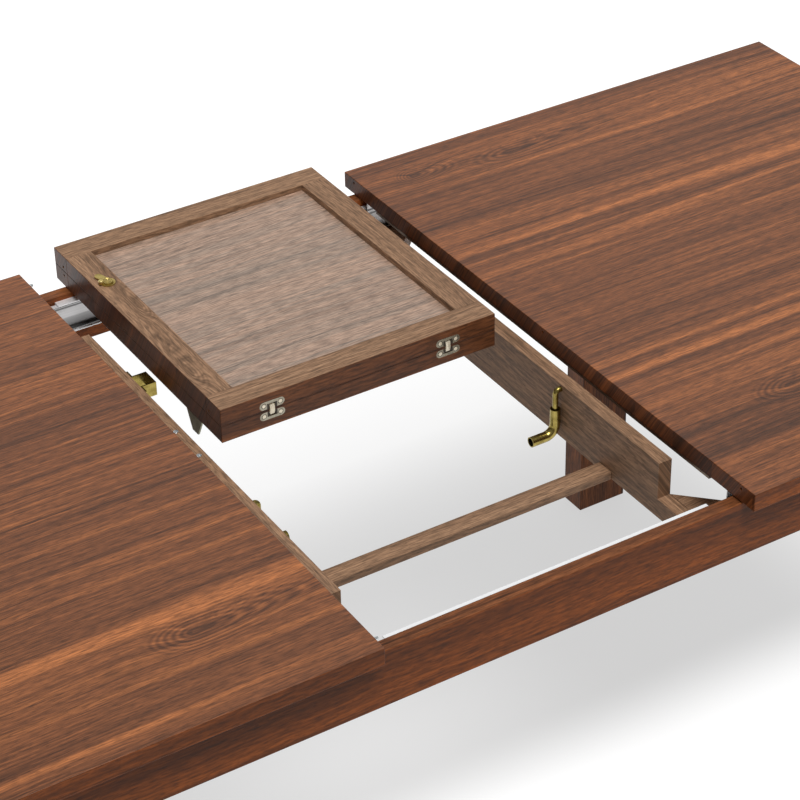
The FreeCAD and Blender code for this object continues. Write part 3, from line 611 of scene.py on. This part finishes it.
def cross_outline(reach, half_width):
    r, w = reach, half_width
    return [(r, -w), (r, w), (w, w), (w, r), (-w, r), (-w, w), (-r, w), (-r, -w), (-w, -w),
            (-w, -r), (w, -r), (w, -w)]


def rounded_pad(wide, tall, thick):
    """A flat plate with rounded ends, lying in XY with its long side along Y."""
    radius, steps = wide / 2, 16
    turns = [math.pi * step / steps for step in range(steps + 1)]
    half = [(radius * math.cos(turn), tall / 2 - radius + radius * math.sin(turn)) for turn in turns]
    return prism(half + [(-x, -y) for x, y in half], 0, thick)


def bowed_strap(wide, tall, bow):
    """A narrow strap that bulges along +Z between its ends, with eased long edges."""
    mesh = bmesh.new()
    steps, ease = 20, 0.5 * MM
    side, shoulder, foot = wide / 2, -0.35 * MM, -1.0 * MM
    section = [(-side, foot), (-side, shoulder), (-side + ease, 0.0), (side - ease, 0.0),
               (side, shoulder), (side, foot)]
    rows = []
    for step in range(steps + 1):
        part = 2 * step / steps - 1
        rise = bow * (1 - part * part)
        rows.append([mesh.verts.new((x, part * tall / 2, rise + depth)) for x, depth in section])
    for first, second in zip(rows, rows[1:]):
        join_rings(mesh, second, first)
    mesh.faces.new(rows[0])
    mesh.faces.new(rows[-1][::-1])
    return closed(mesh)


def to_mesh(name, mesh):
    data = bpy.data.meshes.new(name)
    mesh.to_mesh(data)
    mesh.free()
    return data


def to_object(name, data):
    item = bpy.data.objects.new(name, data)
    bpy.context.scene.collection.objects.link(item)
    return item


def screw_head_mesh(radius, rise):
    """A low domed screw head with a cross recess, its seat at z = 0."""
    profile = [(0, -rise * 0.5), (radius, -rise * 0.5), (radius, rise * 0.25),
               (radius * 0.94, rise * 0.6), (radius * 0.8, rise * 0.85), (radius * 0.5, rise), (0, rise)]
    head = to_object("head", to_mesh("head", lathe(profile)))
    cross = prism(cross_outline(radius * 0.62, radius * 0.13), rise * 1.4, rise * 1.3, 0.55)
    cutter = to_object("cutter", to_mesh("cutter", cross))
    boolean = head.modifiers.new("recess", "BOOLEAN")
    boolean.object = cutter
    boolean.operation = "DIFFERENCE"
    boolean.solver = "EXACT"
    mesh = bpy.data.meshes.new_from_object(head.evaluated_get(bpy.context.evaluated_depsgraph_get()))
    bpy.data.objects.remove(head)
    bpy.data.objects.remove(cutter)
    return mesh


def place_copies(name, single, places, material, body):
    """Copies of one mesh at the places, joined into one piece that rides on a body."""
    joined = bmesh.new()
    for place in places:
        copy = single.copy()
        copy.transform(place)
        joined.from_mesh(copy)
        bpy.data.meshes.remove(copy)
    piece = to_object(name, to_mesh(name, joined))
    piece.data.materials.append(material)
    shade_round(piece.data)
    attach(piece, body)


def screw_heads(name, spots, normal, radius, rise, material, body):
    """Screw heads at the spots, each turned a little differently."""
    base = Vector(normal).to_track_quat("Z", "Y").to_matrix().to_4x4()
    first_turn, next_turn = 17, 53
    places = []
    for number, spot in enumerate(spots):
        turn = Matrix.Rotation(math.radians(first_turn + next_turn * number), 4, "Z")
        places.append(Matrix.Translation(Vector(spot)) @ base @ turn)
    place_copies(name, screw_head_mesh(radius, rise), places, material, body)


def scatter(name, mesh, spots, normal, material, body):
    """A mesh at each spot, its Z turned to the normal and its X kept along the table."""
    towards, across = Vector(normal), Vector((1, 0, 0))
    turn = Matrix((across, towards.cross(across), towards)).transposed().to_4x4()
    places = [Matrix.Translation(Vector(spot)) @ turn for spot in spots]
    place_copies(name, to_mesh("single", mesh), places, material, body)


# ---------------------------------------------------------------- small pieces


def middle(node):
    low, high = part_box(node)
    return (low + high) / 2


def add_screw_heads(metals):
    """Two screw heads on top of the left beam and two in each strap keeper."""
    x, seat = middle("left_beam").x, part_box("left_beam")[1].z + 0.1 * MM
    tops = [(x, y, seat) for y in (-1 * MM, 64 * MM)]
    screw_heads("beam_top_screw_heads", tops, UP, 3.7 * MM, 0.6 * MM, metals["zinc"], "frame")
    for side, sign in zip(SIDES, (-1, 1)):
        low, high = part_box(side + "_keeper")
        back = low.x if sign < 0 else high.x
        spots = [(back - sign * 2.6 * MM, y, (low.z + high.z) / 2) for y in (low.y + 7 * MM, high.y - 7 * MM)]
        screw_heads(side + "_keeper_screw_heads", spots, (-sign, 0, 0), 3.6 * MM, 0.9 * MM,
                    metals["zinc"], "frame")


def add_hinge_details(metals):
    """Screw heads on painted shade discs in the countersinks, painted shade pads at the slot ends and a bowed
    strap with a painted highlight on every hinge.

    The heads stay lower than the gap between the two edges, which face each other when the leaf is open.
    """
    screw_radius, screw_pitch, proud = 2.6 * MM, 25 * MM, 0.02 * MM
    slot_off = Vector((6.1, 0, 6.2)) * MM
    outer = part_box("lower_hinge_screws")[1].x - screw_radius
    inner = outer - screw_pitch
    centres = [side * (outer + inner) / 2 for side in (-1, 1)]
    for layer, sign in zip(LAYERS, (-1, 1)):
        body = "leaf_" + layer
        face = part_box(layer + "_hinge_plates")[0].y - proud
        z = middle(layer + "_hinge_screws").z
        spots = [(x, face, z) for x in (-outer, -inner, inner, outer)]
        # Painted shade: a thin near-black disc under each screw head.
        countersink_shade = turned([(0, 0.02), (3.7, 0.02), (4.1, -0.25), (0, -0.3)])
        scatter(layer + "_hinge_countersink_shade", countersink_shade, spots, TO_NEAR, metals["gap"], body)
        # Painted highlight: the hinge screw heads are lighter than the plates of the same brass.
        screw_heads(layer + "_hinge_screw_heads", spots, TO_NEAR, 2.9 * MM, 0.24 * MM, metals["link"],
                    body)
        slots = [(centre + side * slot_off.x, face, LEAF_SEAM + sign * slot_off.z)
                 for centre in centres for side in (-1, 1)]
        # Painted shade: thin near-black pads at the slot ends.
        scatter(layer + "_hinge_slot_shade", rounded_pad(3.0 * MM, 8.6 * MM, 0.25 * MM), slots, TO_NEAR,
                metals["gap"], body)
    # Painted highlight: a bright strap laid on each link.
    straps = [(centre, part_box("lower_hinge_plates")[0].y, LEAF_SEAM) for centre in centres]
    scatter("hinge_strap_highlights", bowed_strap(7.2 * MM, 15 * MM, 1.1 * MM), straps, TO_NEAR, metals["link"],
            "hinge_links")


def add_catch_details(metals):
    """Turned rings on the catch's hub and a cap on its finger knob."""
    hub, lever = middle("catch_plate"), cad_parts["catch_lever"]
    low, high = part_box("catch_lever")
    hub_top = low.z + 1.8 * MM
    rings = turned([(0, 1.0), (1.7, 1.0), (2.1, 0.35), (3.1, 0.3), (3.6, 0.9), (4.6, 0.95), (5.1, 0.3),
                    (6.0, 0.25), (6.5, 0.8), (7.3, 0.8), (7.8, 0.0), (0, -0.1)], 56)
    scatter("catch_hub_rings", rings, [(hub.x, hub.y, hub_top)], UP, metals["catch"], "catch_lever")
    points = [lever.matrix_world @ vertex.co for vertex in lever.data.vertices]
    knob_top = [point for point in points if point.z > high.z - 0.1 * MM]
    cap = turned([(0, 0.15), (0.9, 0.15), (1.2, 0.7), (1.9, 0.75), (2.3, 0.3), (2.9, 0.6), (3.4, 0.5),
                  (3.7, 0.0), (3.6, -1.6), (0, -1.7)])
    # Painted highlight: the knob cap is lighter than the rest of the catch.
    scatter("catch_knob_cap", cap, [sum(knob_top, Vector()) / len(knob_top)], UP, metals["knob"],
            "catch_lever")


# ---------------------------------------------------------------- floor, light and camera

FLOOR_TONES = (0.19, 0.21)
# Painted shadow: the floor glows less under the table than elsewhere; the SHADE ranges in metres place that
# painted shadow.
GLOW, PAINTED_SHADOW_GLOW = 0.96, 0.59
SHADE_NEAR = (-0.175, 0.01)
SHADE_FAR = (0.40, 1.05)
SHADE_SIDE = (0.78, 1.25)
SHADE_BEYOND, HALF_SHADE = (1.20, 1.55), 0.42
WORLD_STRENGTH = 0.30
SUN_STRENGTH, SUN_ANGLE, SUN_TILT = 2.35, 30, (22, -3, 0)
SHEEN_POWER, SHEEN_SIZE, SHEEN_AWAY = 18, (4.5, 2.4), 4.5
SHEEN_AIM = Vector((0.43, 0.71, 0.56))
CAMERA_PLACE = (-1.43754, -2.45998, 2.64014)
CAMERA_YAW, CAMERA_PITCH, CAMERA_ROLL = 0.5466, 0.5951, -0.0202
CAMERA_LENS, SENSOR = 114.55, 36


def floor():
    """A pale, evenly glowing floor with a painted soft shadow: it glows less under the table."""
    graph = Graph("pale floor")
    x, y, _ = graph.parts(graph.coordinates())
    near = graph.smooth(y, *SHADE_NEAR)
    far = graph.smooth(y, *SHADE_FAR, 1.0, 0.0)
    beyond = graph.smooth(y, *SHADE_BEYOND, HALF_SHADE, 0.0)
    aside = graph.smooth(graph.size_of(x), *SHADE_SIDE, 1.0, 0.0)
    # Painted shadow: 1 under the table, fading at its near, far and outer edges, with a half shade further
    # behind.
    shade = graph.math("MULTIPLY", near, graph.math("MAXIMUM", far, beyond))
    shade = graph.math("MULTIPLY", shade, aside)
    cloud = graph.noise(graph.coordinates(), 2.0, 0.5, 0.6)
    tones = [(position, (tone, tone, tone)) for position, tone in zip((0.0, 1.0), FLOOR_TONES)]
    graph.shade(Base_Color=graph.ramp(cloud, tones), Roughness=0.9,
                Emission_Strength=graph.math("MULTIPLY_ADD", shade, PAINTED_SHADOW_GLOW - GLOW, GLOW))
    graph.gloss(0.0)
    graph.shader.inputs["Emission Color"].default_value = (1, 1, 1, 1)
    mesh = bmesh.new()
    bmesh.ops.create_grid(mesh, x_segments=8, y_segments=8, size=40)
    ground = to_object("floor", to_mesh("floor", mesh))
    ground.data.materials.append(graph.material)
    ground.location.z = -0.2 * MM
    ground.visible_diffuse = False


def lights():
    """A dim white world, a very soft sun from above the near side and a panel behind the table."""
    world = bpy.data.worlds.new("studio")
    bpy.context.scene.world = world
    world.use_nodes = True
    background = world.node_tree.nodes["Background"]
    background.inputs["Color"].default_value = (1, 1, 1, 1)
    background.inputs["Strength"].default_value = WORLD_STRENGTH
    sun = bpy.data.lights.new("overhead", "SUN")
    sun.energy = SUN_STRENGTH
    sun.angle = math.radians(SUN_ANGLE)
    to_object("overhead", sun).rotation_euler = [math.radians(tilt) for tilt in SUN_TILT]
    panel = bpy.data.lights.new("sheen panel", "AREA")
    panel.shape = "RECTANGLE"
    panel.size, panel.size_y = SHEEN_SIZE
    panel.energy = SHEEN_POWER
    lamp = to_object("sheen panel", panel)
    lamp.location = Vector((0.1, 0, 0.75)) + SHEEN_AIM * SHEEN_AWAY
    lamp.rotation_euler = SHEEN_AIM.to_track_quat("Z", "Y").to_euler()


def camera():
    """The camera stands before the left end, looks down at the gap and is rolled a little."""
    yaw, pitch, roll = CAMERA_YAW, CAMERA_PITCH, CAMERA_ROLL
    forward = Vector((math.sin(yaw) * math.cos(pitch), math.cos(yaw) * math.cos(pitch),
                      -math.sin(pitch)))
    level = Vector((math.cos(yaw), -math.sin(yaw), 0))
    upright = level.cross(forward)
    right = level * math.cos(roll) + upright * math.sin(roll)
    up = upright * math.cos(roll) - level * math.sin(roll)
    data = bpy.data.cameras.new("camera")
    data.lens = CAMERA_LENS
    data.sensor_width = SENSOR
    data.clip_end = 200
    item = to_object("camera", data)
    turn = Matrix((right, up, -forward)).transposed().to_4x4()
    item.matrix_world = Matrix.Translation(CAMERA_PLACE) @ turn
    bpy.context.scene.camera = item


METALS = make_metals()
camera()
floor()
lights()
dress_tops()
dress_frame_woods()
dress_leaf_woods()
dress_slides(METALS)
dress_fittings(METALS)
add_screw_heads(METALS)
add_hinge_details(METALS)
add_catch_details(METALS)
bpy.context.scene.view_settings.view_transform = "Standard"
